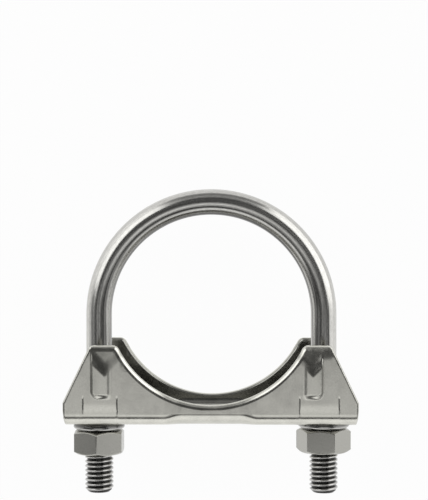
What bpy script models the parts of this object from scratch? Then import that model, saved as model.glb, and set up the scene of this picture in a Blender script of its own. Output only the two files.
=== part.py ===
"""Exhaust clamp: a U-bolt, a pressed saddle, two washers and two nuts.

The clamp lies on one cheek of its saddle. X runs from leg to leg, +Y from the
thread ends to the crown of the U-bolt, and Z up, along the pipe it closes on.
"""
import math

import bmesh
import bpy
from mathutils import Vector

MM = 0.001

# The pipe that the clamp closes on
PIPE_DIAMETER = 54.5 * MM

# U-bolt
ROD_DIAMETER = 7.0 * MM
LEG_LENGTH = 48.6 * MM            # centre of the bend to the end of a leg
THREAD_DIAMETER = 7.8 * MM        # over the crests of the rolled thread
THREAD_LENGTH = 28.0 * MM
THREAD_RUN_OUT = 1.5 * MM
END_CHAMFER = 1.0 * MM
ROD_SIDES = 20                    # an even number of flats round the rod
BEND_STEPS = 32

# Saddle
SADDLE_END = 8.45 * MM            # leg axis to the end of the saddle
SADDLE_WIDTH = 28.4 * MM          # over the cheeks, at the top of the fold
SHEET_THICKNESS = 2.0 * MM
SEAT_DEPTH = 23.25 * MM           # centre of the bend to the lowest point of the cut-out
WEB_DEPTH = 28.7 * MM             # centre of the bend to the underside of the web
HORN_DEPTH = 7.4 * MM             # centre of the bend to the flat tops of the horns
HORN_OVERHANG = 1.15 * MM         # leg axis to the outer corner of a flat top
HORN_CORNER = 1.8 * MM
SEAT_CORNER = 2.0 * MM            # rounding between a flat top and the cut-out
SHOULDER_DEPTH = 22.6 * MM        # where the sloping edge meets the upright end
FOOT_DEPTH = 24.8 * MM            # where the upright end starts to draw in
FOOT_DRAW_IN = 0.5 * MM
CHEEK_SPLAY = math.radians(1.5)   # the cheeks spring back a little after the fold
FOLD_RADIUS = 3.0 * MM
FOLD_STEPS = 5
SEAT_FOLD_RADIUS = 4.6 * MM       # wider under the cut-out, where the cheek is low
SEAT_FOLD_FLAT = 15.0 * MM
SEAT_FOLD_BLEND = 5.0 * MM
EDGE_ROUNDING = 0.6 * MM
HOLE_CLEARANCE = 0.7 * MM         # round the thread, on the radius

# Beads pressed outwards in the cheeks
BEAD_HEIGHT = 0.8 * MM
BEAD_WIDTH = 5.1 * MM
BEAD_INSET = 2.5 * MM             # leg axis to the middle of the bead
BEAD_FOOT_DEPTH = 21.3 * MM       # middle of the bead's steep lower wall
BEAD_CREST_DEPTH = 16.4 * MM      # from here the bead runs out towards the horn
BEAD_TOP_DEPTH = 11.4 * MM
BEAD_OUTER_WALL = 0.8 * MM
BEAD_INNER_WALL = 1.8 * MM
BEAD_LOWER_WALL = 1.2 * MM

# Shallow channels pressed across the web at the holes
CHANNEL_HEIGHT = 0.3 * MM
CHANNEL_WIDTH = 9.7 * MM
CHANNEL_INSET = 1.75 * MM         # leg axis to the middle of the channel
CHANNEL_WALL = 0.8 * MM
CHANNEL_TOP_DEPTH = 20.5 * MM

# Washers and nuts
WASHER_DIAMETER = 14.0 * MM
WASHER_SMALL_DIAMETER = 11.6 * MM
WASHER_THICKNESS = 1.8 * MM
WASHER_RIM = 0.8 * MM
WASHER_CLEARANCE = 0.3 * MM
NUT_ACROSS_FLATS = 13.0 * MM
NUT_HEIGHT = 6.5 * MM
NUT_CHAMFER_DIAMETER = 12.3 * MM
NUT_CHAMFER_ANGLE = math.radians(30)
NUT_COUNTERSINK = 0.45 * MM
NUT_CLEARANCE = 0.1 * MM
SEAT_GAP = 0.3 * MM               # kept between faces that touch on the real clamp
LEFT_NUT_SLACK = 0.5 * MM         # the left nut is less far up its thread
RIGHT_NUT_TURN = math.radians(20.4)
LEFT_NUT_TURN = math.radians(-1.3)
ROUND_STEPS = 32

# Worked out from the sizes above
BEND_RADIUS = (PIPE_DIAMETER + ROD_DIAMETER) / 2
CROWN = BEND_RADIUS + ROD_DIAMETER / 2
BEND_Y = (LEG_LENGTH - CROWN) / 2
SEAT_RADIUS = PIPE_DIAMETER / 2
SADDLE_HALF = BEND_RADIUS + SADDLE_END
SEAT_CENTRE_Y = SEAT_RADIUS - SEAT_DEPTH
BEAD_MIDDLE = BEND_RADIUS - BEAD_INSET
CHANNEL_MIDDLE = BEND_RADIUS - CHANNEL_INSET
HOLE_RADIUS = THREAD_DIAMETER / 2 + HOLE_CLEARANCE
NUT_CORNER = NUT_ACROSS_FLATS / 2 / math.cos(math.pi / 6)
WASHER_TOP_Y = -WEB_DEPTH - SEAT_GAP
NUT_TOP_Y = WASHER_TOP_Y - WASHER_THICKNESS - SEAT_GAP
CHEEK_FOOT_Y = -WEB_DEPTH + FOLD_RADIUS * (1 - math.sin(CHEEK_SPLAY))
FOLD_TURN = math.pi / 2 - CHEEK_SPLAY
OVERSHOOT = 2.0 * MM              # how far cutters and blanks pass the finished faces
BLANK_TOP_Y = -HORN_DEPTH + OVERSHOOT

COLLECTION = "exhaust_clamp"
CUTTERS = "cutters"


def clear_scene():
    for old in list(bpy.data.objects):
        bpy.data.objects.remove(old, do_unlink=True)


def collection(name):
    found = bpy.data.collections.get(name) or bpy.data.collections.new(name)
    if name not in bpy.context.scene.collection.children:
        bpy.context.scene.collection.children.link(found)
    return found


def steel(name, colour, roughness):
    made = bpy.data.materials.new(name)
    made.use_nodes = True
    shader = made.node_tree.nodes["Principled BSDF"]
    shader.inputs["Base Color"].default_value = (*colour, 1.0)
    shader.inputs["Metallic"].default_value = 1.0
    shader.inputs["Roughness"].default_value = roughness
    return made


def add_object(name, mesh, group, material=None):
    made = bpy.data.objects.new(name, mesh)
    collection(group).objects.link(made)
    if material:
        mesh.materials.clear()
        mesh.materials.append(material)
    return made


def add_cutter(name, mesh):
    made = add_object(name, mesh, CUTTERS)
    made.hide_render = True
    made.display_type = "WIRE"
    return made


def baked_mesh(source, name):
    """The object's evaluated mesh, welded and facing outwards; the object itself is removed."""
    graph = bpy.context.evaluated_depsgraph_get()
    mesh = bpy.data.meshes.new_from_object(source.evaluated_get(graph))
    bm = bmesh.new()
    bm.from_mesh(mesh)
    bmesh.ops.remove_doubles(bm, verts=bm.verts, dist=0.001 * MM)
    bmesh.ops.recalc_face_normals(bm, faces=bm.faces)
    bm.to_mesh(mesh)
    bm.free()
    mesh.name = name
    bpy.data.objects.remove(source, do_unlink=True)
    return mesh


def cut(target, cutter, operation):
    step = target.modifiers.new(operation.lower() + "_" + cutter.name, "BOOLEAN")
    step.operation = operation
    step.object = cutter


def smooth(mesh, angle):
    mesh.shade_smooth()
    mesh.set_sharp_from_angle(angle=angle)


def rise(value, start, end):
    """0 before start, 1 after end, with a soft step between them."""
    share = min(max((value - start) / (end - start), 0.0), 1.0)
    return share * share * (3 - 2 * share)


def arc(centre, radius, start, end, steps):
    """Points on an arc in the XY plane, angles in radians, both ends included."""
    turns = [start + (end - start) * i / steps for i in range(steps + 1)]
    return [Vector((centre[0] + radius * math.cos(a), centre[1] + radius * math.sin(a), 0)) for a in turns]


def turned(name, profile, steps):
    """A profile of (radius, height) points turned round Z, its outer side running down."""
    mesh = bpy.data.meshes.new(name + "_profile")
    pairs = [(i, (i + 1) % len(profile)) for i in range(len(profile))]
    edges = [(a, b) for a, b in pairs if profile[a][0] or profile[b][0]]
    mesh.from_pydata([(r, 0, z) for r, z in profile], edges, [])
    made = add_object(name + "_profile", mesh, COLLECTION)
    screw = made.modifiers.new("turn", "SCREW")
    screw.steps = steps
    screw.render_steps = steps
    screw.use_merge_vertices = True
    screw.merge_threshold = 0.0001 * MM
    return baked_mesh(made, name)


def u_bolt(material):
    """The bent rod: a curve whose radius grows over the threaded ends."""
    thread = THREAD_DIAMETER / ROD_DIAMETER
    tip = (THREAD_DIAMETER - 2 * END_CHAMFER) / ROD_DIAMETER
    leg = [
        (-LEG_LENGTH, tip),
        (-LEG_LENGTH + END_CHAMFER, thread),
        (-LEG_LENGTH + THREAD_LENGTH, thread),
        (-LEG_LENGTH + THREAD_LENGTH + THREAD_RUN_OUT, 1.0),
    ]
    right = [(Vector((BEND_RADIUS, y, 0)), size) for y, size in leg]
    bend = [(point, 1.0) for point in arc((0, 0), BEND_RADIUS, 0, math.pi, BEND_STEPS)]
    left = [(Vector((-BEND_RADIUS, y, 0)), size) for y, size in reversed(leg)]
    route = right + bend + left

    curve = bpy.data.curves.new("u_bolt", "CURVE")
    curve.dimensions = "3D"
    curve.bevel_depth = ROD_DIAMETER / 2
    curve.bevel_resolution = (ROD_SIDES - 4) // 2
    curve.use_fill_caps = True
    spline = curve.splines.new("POLY")
    spline.points.add(len(route) - 1)
    for point, (place, size) in zip(spline.points, route):
        point.co = (*place, 1)
        point.radius = size
    rod = add_object("u_bolt_route", curve, COLLECTION)
    mesh = baked_mesh(rod, "u_bolt")
    smooth(mesh, math.radians(30))
    return add_object("u_bolt", mesh, COLLECTION, material)


def outline_points():
    """The saddle seen from the front, as the blank is cut: one half, then its mirror."""
    shoulder = Vector((SADDLE_HALF, -SHOULDER_DEPTH, 0))
    horn = Vector((BEND_RADIUS + HORN_OVERHANG, -HORN_DEPTH, 0))
    slope = (horn - shoulder).normalized()
    inner = math.sqrt((SEAT_RADIUS + SEAT_CORNER) ** 2 - (SEAT_CENTRE_Y + HORN_DEPTH + SEAT_CORNER) ** 2)

    # Outer corner of the horn, tangent to the sloping edge and the flat top
    lean = math.atan2(slope.x, slope.y)
    reach = HORN_CORNER * math.tan((math.pi / 2 + lean) / 2)
    corner = arc((horn.x - reach, horn.y - HORN_CORNER), HORN_CORNER, -lean, math.pi / 2, 5)

    # Inner corner of the horn, tangent to the flat top and the round cut-out
    centre = Vector((inner, -HORN_DEPTH - SEAT_CORNER, 0))
    to_seat = Vector((0, SEAT_CENTRE_Y, 0)) - centre
    inner_corner = arc(centre, SEAT_CORNER, math.pi / 2, math.atan2(to_seat.y, to_seat.x), 4)

    # Half of the cut-out, from the inner corner down to the middle
    start = math.atan2(centre.y - SEAT_CENTRE_Y, centre.x)
    seat = arc((0, SEAT_CENTRE_Y), SEAT_RADIUS, start, -math.pi / 2, 20)

    foot = -WEB_DEPTH - OVERSHOOT
    draw_in = FOOT_DRAW_IN * (WEB_DEPTH + OVERSHOOT - FOOT_DEPTH) / (WEB_DEPTH - FOOT_DEPTH)
    right = [Vector((SADDLE_HALF - draw_in, foot, 0)), Vector((SADDLE_HALF, -FOOT_DEPTH, 0)), shoulder]
    right += corner + inner_corner + seat[1:]
    left = [Vector((-point.x, point.y, 0)) for point in reversed(right[:-1])]
    return right + left


def outline_prism():
    curve = bpy.data.curves.new("outline", "CURVE")
    curve.dimensions = "2D"
    curve.fill_mode = "BOTH"
    curve.extrude = SADDLE_WIDTH / 2 + 3 * OVERSHOOT
    spline = curve.splines.new("POLY")
    points = outline_points()
    spline.points.add(len(points) - 1)
    for point, place in zip(spline.points, points):
        point.co = (*place, 1)
    spline.use_cyclic_u = True
    flat = add_object("outline_curve", curve, CUTTERS)
    return add_cutter("outline", baked_mesh(flat, "outline"))


def hole_cutter(name, x):
    bm = bmesh.new()
    depth = 4 * SHEET_THICKNESS
    bmesh.ops.create_cone(bm, cap_ends=True, segments=ROUND_STEPS, radius1=HOLE_RADIUS,
                          radius2=HOLE_RADIUS, depth=depth)
    mesh = bpy.data.meshes.new(name)
    bm.to_mesh(mesh)
    bm.free()
    made = add_cutter(name, mesh)
    made.rotation_euler = (math.pi / 2, 0, 0)
    made.location = (x, -WEB_DEPTH + SHEET_THICKNESS / 2, 0)
    return made


def cheek_width(y):
    """Half the width over the cheeks at a height."""
    return SADDLE_WIDTH / 2 + (y - CHEEK_FOOT_Y) * math.tan(CHEEK_SPLAY)


def fold_centre(radius):
    """Height and width of the centre of a fold that runs from the web into a cheek."""
    y = -WEB_DEPTH + radius
    return y, cheek_width(y) - radius / math.cos(CHEEK_SPLAY)


def fold_radius(x):
    """The fold is wider under the cut-out, where the cheek is low."""
    side = rise(abs(x), SEAT_FOLD_FLAT / 2, SEAT_FOLD_FLAT / 2 + SEAT_FOLD_BLEND)
    return SEAT_FOLD_RADIUS + (FOLD_RADIUS - SEAT_FOLD_RADIUS) * side


def section_point(step):
    """Height and width of the outer skin. step runs 0 to 1 over half the web, 1 to 2
    round the fold and 2 to 3 up the cheek, and is negative on the lower side."""
    centre_y, centre_z = fold_centre(FOLD_RADIUS)
    turn = (min(max(abs(step), 1), 2) - 1) * FOLD_TURN
    y = centre_y - FOLD_RADIUS * math.cos(turn)
    z = (centre_z + FOLD_RADIUS * math.sin(turn)) * min(abs(step), 1)
    if abs(step) > 2:
        y += (abs(step) - 2) * (BLANK_TOP_Y - y)
        z = cheek_width(y)
    return y, math.copysign(z, step)


def spread(start, end, count):
    return [start + (end - start) * i / count for i in range(count + 1)]


def mirrored(values):
    """The values with their opposites, in order."""
    return sorted({value for size in values for value in (-size, size)})


def folded_sheet():
    """The sheet before it is trimmed: a strip folded up at both sides, with its wall."""
    rows = mirrored(spread(1.0, 2.0, FOLD_STEPS) + [3.0])
    bm = bmesh.new()
    bmesh.ops.create_grid(bm, x_segments=1, y_segments=len(rows) - 1, size=1)
    for vertex in bm.verts:
        row = round((vertex.co.y + 1) / 2 * (len(rows) - 1))
        x = vertex.co.x * (SADDLE_HALF + OVERSHOOT)
        vertex.co = (x, *section_point(rows[row]))
    mesh = bpy.data.meshes.new("saddle")
    bm.to_mesh(mesh)
    bm.free()
    sheet = add_object("sheet", mesh, COLLECTION)
    wall = sheet.modifiers.new("wall", "SOLIDIFY")
    wall.thickness = SHEET_THICKNESS
    wall.offset = -1
    wall.use_even_offset = True
    return sheet


def fold_angle(place):
    """How far round the fold a place lies: 0 at the web, FOLD_TURN at the cheek."""
    centre_y, centre_z = fold_centre(FOLD_RADIUS)
    side = abs(place.z) - centre_z
    if side <= 0:
        return 0.0
    return min(math.atan2(side, centre_y - place.y), FOLD_TURN)


def outward(place):
    """The direction that faces out of the folded sheet at a place."""
    turn = fold_angle(place)
    return Vector((0, -math.cos(turn), math.copysign(math.sin(turn), place.z)))


def widened(place):
    """Where a place on the fold comes to lie once the fold is widened under the cut-out."""
    centre_y, centre_z = fold_centre(FOLD_RADIUS)
    turn = fold_angle(place)
    offset = Vector((0, place.y - centre_y, abs(place.z) - centre_z))
    beside = abs(offset.y * math.sin(turn) + offset.z * math.cos(turn))
    if beside > 0.01 * MM:
        return place
    radius = fold_radius(place.x)
    centre_y, centre_z = fold_centre(radius)
    reach = radius - (FOLD_RADIUS - offset.length)
    z = centre_z + reach * math.sin(turn)
    return Vector((place.x, centre_y - reach * math.cos(turn), math.copysign(z, place.z)))


def plateau(value, half_width, start_wall, end_wall):
    """1 across a width about zero, with a soft wall of its own at each side."""
    up = rise(value, -half_width - start_wall / 2, -half_width + start_wall / 2)
    down = rise(value, half_width - end_wall / 2, half_width + end_wall / 2)
    return up * (1 - down)


def bead(place):
    """Height of the bead at a place on a cheek."""
    across = plateau(abs(place.x) - BEAD_MIDDLE, BEAD_WIDTH / 2, BEAD_INNER_WALL, BEAD_OUTER_WALL)
    foot = rise(place.y, -BEAD_FOOT_DEPTH - BEAD_LOWER_WALL / 2, -BEAD_FOOT_DEPTH + BEAD_LOWER_WALL / 2)
    run_out = 1 - rise(place.y, -BEAD_CREST_DEPTH, -BEAD_TOP_DEPTH)
    return BEAD_HEIGHT * across * foot * run_out


def channel(place):
    """Depth of the channel across the web, which fades out on the cheeks."""
    across = plateau(abs(place.x) - CHANNEL_MIDDLE, CHANNEL_WIDTH / 2, CHANNEL_WALL, CHANNEL_WALL)
    return CHANNEL_HEIGHT * across * (1 - rise(place.y, CHEEK_FOOT_Y, -CHANNEL_TOP_DEPTH))


def slice_across(bm, faces, axis, places):
    """Cut faces along planes that stand across an axis."""
    normal = Vector((0, 0, 0))
    normal[axis] = 1
    for place in places:
        point = Vector((0, 0, 0))
        point[axis] = place
        keep = [face for face in bm.faces if faces(face)]
        geometry = keep + list({e for f in keep for e in f.edges}) + list({v for f in keep for v in f.verts})
        bmesh.ops.bisect_plane(bm, geom=geometry, dist=0.001 * MM, plane_co=point, plane_no=normal)


def is_cheek(face):
    return face.calc_center_median().y > CHEEK_FOOT_Y


def is_fold_or_web(face):
    return not is_cheek(face)


def cheek_beside_leg(middle, half_width):
    """Picks the cheeks' faces in a band of the length beside each leg."""
    def picked(face):
        return is_cheek(face) and abs(abs(face.calc_center_median().x) - middle) < half_width
    return picked


def wall_lines(edge, wall, steps):
    """Lines over the wall of a pressed form."""
    return spread(edge - wall / 2, edge + wall / 2, steps)


def press_forms(mesh):
    """The trimmed sheet is divided where its shape changes, then pressed to that shape."""
    bm = bmesh.new()
    bm.from_mesh(mesh)
    channel_lines = wall_lines(CHANNEL_MIDDLE - CHANNEL_WIDTH / 2, CHANNEL_WALL, 2)
    channel_lines += wall_lines(CHANNEL_MIDDLE + CHANNEL_WIDTH / 2, CHANNEL_WALL, 2)
    bead_lines = wall_lines(BEAD_MIDDLE - BEAD_WIDTH / 2, BEAD_INNER_WALL, 3)
    bead_lines += wall_lines(BEAD_MIDDLE + BEAD_WIDTH / 2, BEAD_OUTER_WALL, 3)
    seat_lines = spread(SEAT_FOLD_FLAT / 2, SEAT_FOLD_FLAT / 2 + SEAT_FOLD_BLEND, 3)
    slice_across(bm, is_cheek, 0, mirrored(bead_lines + channel_lines + [BEAD_MIDDLE]))
    slice_across(bm, is_fold_or_web, 0, mirrored(channel_lines + seat_lines))

    bead_rows = wall_lines(-BEAD_FOOT_DEPTH, BEAD_LOWER_WALL, 3)
    bead_rows += spread(-BEAD_CREST_DEPTH, -BEAD_TOP_DEPTH, 4)
    bead_reach = BEAD_WIDTH / 2 + BEAD_INNER_WALL / 2
    slice_across(bm, cheek_beside_leg(BEAD_MIDDLE, bead_reach), 1, bead_rows)
    fade_rows = spread(CHEEK_FOOT_Y, -CHANNEL_TOP_DEPTH, 3)[1:]
    channel_reach = CHANNEL_WIDTH / 2 + CHANNEL_WALL / 2
    slice_across(bm, cheek_beside_leg(CHANNEL_MIDDLE, channel_reach), 1, fade_rows)
    bmesh.ops.remove_doubles(bm, verts=bm.verts, dist=0.02 * MM)

    for vertex in bm.verts:
        vertex.co = widened(vertex.co) + outward(vertex.co) * (bead(vertex.co) - channel(vertex.co))
    bm.to_mesh(mesh)
    bm.free()


def saddle(material):
    sheet = folded_sheet()
    cut(sheet, outline_prism(), "INTERSECT")
    for name, side in (("left_hole", -1), ("right_hole", 1)):
        cut(sheet, hole_cutter(name, side * BEND_RADIUS), "DIFFERENCE")
    edges = sheet.modifiers.new("rounded_edges", "BEVEL")
    edges.width = EDGE_ROUNDING
    edges.segments = 2
    edges.limit_method = "ANGLE"
    edges.angle_limit = math.radians(60)
    mesh = baked_mesh(sheet, "saddle")
    press_forms(mesh)
    smooth(mesh, math.radians(40))
    return add_object("saddle", mesh, COLLECTION, material)


def washer(name, material):
    """A thick washer: an upright rim, then a slope to the small end."""
    inner = THREAD_DIAMETER / 2 + WASHER_CLEARANCE
    profile = [
        (inner, 0),
        (WASHER_DIAMETER / 2, 0),
        (WASHER_DIAMETER / 2, WASHER_RIM),
        (WASHER_SMALL_DIAMETER / 2, WASHER_THICKNESS),
        (inner, WASHER_THICKNESS),
    ]
    mesh = turned(name, list(reversed(profile)), ROUND_STEPS)
    smooth(mesh, math.radians(30))
    return add_object(name, mesh, COLLECTION, material)


def nut_barrel():
    """The turned body that chamfers the corners of a nut at both ends."""
    reach = NUT_CORNER + OVERSHOOT
    drop = (reach - NUT_CHAMFER_DIAMETER / 2) * math.tan(NUT_CHAMFER_ANGLE)
    profile = [
        (0, NUT_HEIGHT),
        (NUT_CHAMFER_DIAMETER / 2, NUT_HEIGHT),
        (reach, NUT_HEIGHT - drop),
        (reach, drop),
        (NUT_CHAMFER_DIAMETER / 2, 0),
        (0, 0),
    ]
    return add_cutter("nut_barrel", turned("nut_barrel", profile, ROUND_STEPS))


def nut_bore():
    """The bore over the crests of the thread, countersunk at both ends."""
    bore = THREAD_DIAMETER / 2 + NUT_CLEARANCE
    mouth = bore + NUT_COUNTERSINK + OVERSHOOT
    profile = [
        (0, NUT_HEIGHT + OVERSHOOT),
        (mouth, NUT_HEIGHT + OVERSHOOT),
        (bore, NUT_HEIGHT - NUT_COUNTERSINK),
        (bore, NUT_COUNTERSINK),
        (mouth, -OVERSHOOT),
        (0, -OVERSHOOT),
    ]
    return add_cutter("nut_bore", turned("nut_bore", profile, ROUND_STEPS))


def nut(name, material, barrel, bore):
    bm = bmesh.new()
    bmesh.ops.create_cone(bm, cap_ends=True, segments=6, radius1=NUT_CORNER,
                          radius2=NUT_CORNER, depth=NUT_HEIGHT)
    bmesh.ops.translate(bm, verts=bm.verts, vec=(0, 0, NUT_HEIGHT / 2))
    mesh = bpy.data.meshes.new(name)
    bm.to_mesh(mesh)
    bm.free()
    made = add_object(name, mesh, COLLECTION, material)
    cut(made, barrel, "INTERSECT")
    cut(made, bore, "DIFFERENCE")
    baked = baked_mesh(made, name)
    smooth(baked, math.radians(25))
    return add_object(name, baked, COLLECTION, material)


def place_on_leg(piece, side, y, height, turn=0.0):
    """Stand a piece on a leg, its own Z pointing out towards the thread end."""
    piece.location = (side * BEND_RADIUS, BEND_Y + y, height)
    piece.rotation_euler = (math.pi / 2, turn, 0)


def lowest(piece):
    graph = bpy.context.evaluated_depsgraph_get()
    return min(vertex.co.z for vertex in piece.evaluated_get(graph).data.vertices)


def build():
    clear_scene()
    rod_steel = steel("drawn_rod", (0.42, 0.42, 0.41), 0.22)
    sheet_steel = steel("pressed_sheet", (0.45, 0.45, 0.43), 0.34)
    nut_steel = steel("nut_steel", (0.40, 0.40, 0.38), 0.28)
    washer_steel = steel("washer_steel", (0.38, 0.38, 0.37), 0.24)

    pressed = saddle(sheet_steel)
    height = -lowest(pressed)
    bent = u_bolt(rod_steel)
    for piece in (pressed, bent):
        piece.location = (0, BEND_Y, height)

    barrel = nut_barrel()
    bore = nut_bore()
    for word, side, slack, turn in (
        ("left", -1, LEFT_NUT_SLACK, LEFT_NUT_TURN),
        ("right", 1, 0.0, RIGHT_NUT_TURN),
    ):
        place_on_leg(washer(word + "_washer", washer_steel), side, WASHER_TOP_Y - slack, height)
        place_on_leg(nut(word + "_nut", nut_steel, barrel, bore), side, NUT_TOP_Y - slack, height, turn)


build()
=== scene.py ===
"""An exhaust clamp, dressed: a bent rod with rolled threads, a pressed saddle, washers and nuts.

The pieces are modelled about the centre of the bend, in metres: X from leg to leg,
+Y from the thread ends to the crown, Z along the pipe. Each is then set in its place.
"""
import math

import bmesh
import bpy
from mathutils import Matrix, Vector


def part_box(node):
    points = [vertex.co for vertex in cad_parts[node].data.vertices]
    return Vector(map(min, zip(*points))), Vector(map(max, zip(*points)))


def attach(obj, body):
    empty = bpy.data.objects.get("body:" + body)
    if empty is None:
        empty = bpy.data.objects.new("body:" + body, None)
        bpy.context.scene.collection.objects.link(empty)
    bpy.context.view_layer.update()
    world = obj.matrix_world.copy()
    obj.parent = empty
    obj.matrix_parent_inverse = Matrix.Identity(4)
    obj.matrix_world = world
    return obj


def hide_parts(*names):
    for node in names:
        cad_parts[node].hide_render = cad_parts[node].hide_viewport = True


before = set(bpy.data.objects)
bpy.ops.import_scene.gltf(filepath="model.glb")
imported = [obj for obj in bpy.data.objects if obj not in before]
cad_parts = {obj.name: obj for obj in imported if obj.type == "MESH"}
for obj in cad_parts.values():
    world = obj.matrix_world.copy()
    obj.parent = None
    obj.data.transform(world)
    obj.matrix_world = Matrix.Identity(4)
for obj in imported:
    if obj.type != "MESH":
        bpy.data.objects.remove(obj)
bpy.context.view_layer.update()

MM = 0.001

# U-bolt
PIPE_DIAMETER = 54.5 * MM
ROD_DIAMETER = 7.0 * MM
LEG_LENGTH = 48.6 * MM            # centre of the bend to the end of a leg
THREAD_LENGTH = 28.0 * MM
THREAD_RUN_OUT = 1.5 * MM
PITCH = 1.25 * MM
CREST_RADIUS = 3.89 * MM
ROOT_RADIUS = 3.28 * MM
END_CHAMFER = 1.0 * MM
ROD_SIDES = 64
BEND_STEPS = 128
THREAD_STEPS = 48                 # faces in one turn of thread
BRIDGE_GAP = 0.3 * MM             # between shank and thread, bridged once both are made

# Saddle
SADDLE_END = 8.45 * MM            # leg axis to the end of the saddle
SADDLE_WIDTH = 28.4 * MM
SHEET_THICKNESS = 2.0 * MM
SEAT_DEPTH = 23.25 * MM
WEB_DEPTH = 28.7 * MM
HORN_DEPTH = 7.4 * MM
HORN_OVERHANG = 1.15 * MM
HORN_CORNER = 1.8 * MM
SEAT_CORNER = 2.0 * MM
SHOULDER_DEPTH = 22.6 * MM
FOOT_DEPTH = 24.8 * MM
FOOT_DRAW_IN = 0.5 * MM
CHEEK_SPLAY = math.radians(1.5)
FOLD_RADIUS = 3.0 * MM
FOLD_STEPS = 12
SEAT_FOLD_RADIUS = 4.6 * MM
SEAT_FOLD_FLAT = 15.0 * MM
SEAT_FOLD_BLEND = 5.0 * MM
SEAT_ROUNDING = 0.8 * MM          # the edges that face the pipe are eased most
EASED_PROFILE = 0.36              # nearly a chamfer
END_ROUNDING = 0.22               # share of that on the slopes and ends
HOLE_ROUNDING = 0.3               # share of that round the holes
SHARP_CORNER = math.radians(60)   # what is sharper than this is eased
SKIN_LOOPS = (SEAT_ROUNDING + 0.15 * MM, 0.2 * MM, 0.3 * MM)    # loops in the outer skin, each from the last
ROLL_WIDTH = 0.65 * MM            # the skin leans in along the edges that the die cut
ROLL_ANGLE = math.radians(13)
HOLE_RADIUS = 4.6 * MM

# Beads and channels pressed in the saddle
BEAD_HEIGHT = 0.63 * MM
BEAD_WIDTH = 5.0 * MM
BEAD_CORNER = 2.1 * MM
BEAD_FOOT_DEPTH = 21.8 * MM
BEAD_OUTER_WALL = 0.6 * MM
BEAD_LOWER_WALL = 1.5 * MM
BEAD_INNER_WALL = 1.3 * MM
BEAD_FALL = 0.8                   # how much lower the crown is at its inner side
WEDGE_DEPTH = 15.6 * MM           # point of the wedge in which a bead runs out
WEDGE_LENGTH = 4.2 * MM
WEDGE_SLANT = 1.0
HORN_BEND_DEPTH = 13.0 * MM       # above this the horns lean in
HORN_BEND = 1.2 * MM
LEAN_SLANT = 0.6                  # the lean sets in higher up beside the wedge
LEAN_REACH = 4.0 * MM             # as far out as this
CHANNEL_HEIGHT = 0.1 * MM
CHANNEL_WALL = 1.0 * MM
CHANNEL_FADE = 3.0 * MM
CHANNEL_FOLD = (math.radians(15), math.radians(45))    # the turn of the fold in which a channel sets in
CREASE_DEPTH = 0.08 * MM
CREASE_WIDTH = 0.44 * MM
CREASE_TOP_DEPTH = 20.6 * MM
GUARD = 0.15 * MM                 # a slice this far past a form keeps its shading from spreading
LEG_SURROUND = 9.0 * MM           # this near to a leg the cheeks are sliced closely
OUTER_DEPTH = (0.8 * MM, 1.2 * MM)    # the outer skin ends between these depths
INSIDE_DEPTH = (1.2 * MM, 1.8 * MM)   # the inside of the saddle starts between these

# Shares of painted shade on the bead walls, inside the saddle, beside the cut edges and in the wedges, and of painted
# highlight at the eased edges
PAINTED_SHADE_ON_WALLS = 0.9
PAINTED_SHADE_INSIDE = 0.5
PAINTED_SHADE_BESIDE_CUT = 0.25
PAINTED_SHADE_IN_WEDGE = 0.45
PAINTED_HIGHLIGHT = 0.2
PAINTED_SHADE_SETS_IN = 0.15 * MM          # this far in from an edge that the die cut
PAINTED_HIGHLIGHT_EDGE = 0.2 * MM

# Where the punches struck on each side: no two of them sit alike
PRESSED = {
    -1: {"bead": 29.25 * MM, "wedge": 27.9 * MM, "lean": math.radians(1.5), "channel": (24.8 * MM, 33.8 * MM)},
    1: {"bead": 27.35 * MM, "wedge": 27.0 * MM, "lean": math.radians(11), "channel": (23.6 * MM, 34.0 * MM)},
}

# Washers and nuts
WASHER_DIAMETER = 14.0 * MM
WASHER_SMALL_DIAMETER = 11.6 * MM
WASHER_THICKNESS = 1.8 * MM
WASHER_RIM = ((0.5, 0), (0.22, 0.08), (0.1, 0.25), (0.04, 0.7), (0, 1.2), (0.05, 1.38), (0.18, 1.55), (0.4, 1.68),
              (0.75, 1.77))       # how far in from the edge, at which height, in mm
WASHER_BORE = 4.2 * MM
WASHER_ROUNDING = 0.1 * MM
WASHER_PAINTED_SHADE = 0.85                # painted shade on the rim above where it was turned
NUT_ACROSS_FLATS = 13.0 * MM
NUT_HEIGHT = 6.5 * MM
NUT_CHAMFER_DIAMETER = 12.3 * MM
NUT_CHAMFER_ANGLE = math.radians(30)
NUT_BORE = 4.0 * MM
NUT_COUNTERSINK = 0.45 * MM
NUT_ROUNDING = 0.2 * MM
NUT_BORE_ROUNDING = 0.3           # share of that round the bore
NUT_SHARP_CORNER = math.radians(22)
NUT_BARREL_PAST = 0.5 * MM        # the barrel goes on past the nut's ends, for a clean cut
SEAT_GAP = 0.3 * MM
LEFT_NUT_SLACK = 0.5 * MM
RIGHT_NUT_TURN = math.radians(20.4)
LEFT_NUT_TURN = math.radians(-1.3)
TURNED_STEPS = 96
SMOOTH_ANGLE = math.radians(35)   # what is flatter than this is shaded smooth

# Camera, its places taken from the centre of the bend
CAMERA_HEIGHT = 390.0 * MM
CAMERA_EYE = Vector((5.67, 25.0, 390.0)) * MM
CAMERA_AIM = Vector((0.745, 17.6, 0.0)) * MM
SENSOR = 36.0                     # width, in mm
FOCAL_LENGTH = 1425.5 / 500 * SENSOR    # in mm, were the aim straight below the eye

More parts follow.
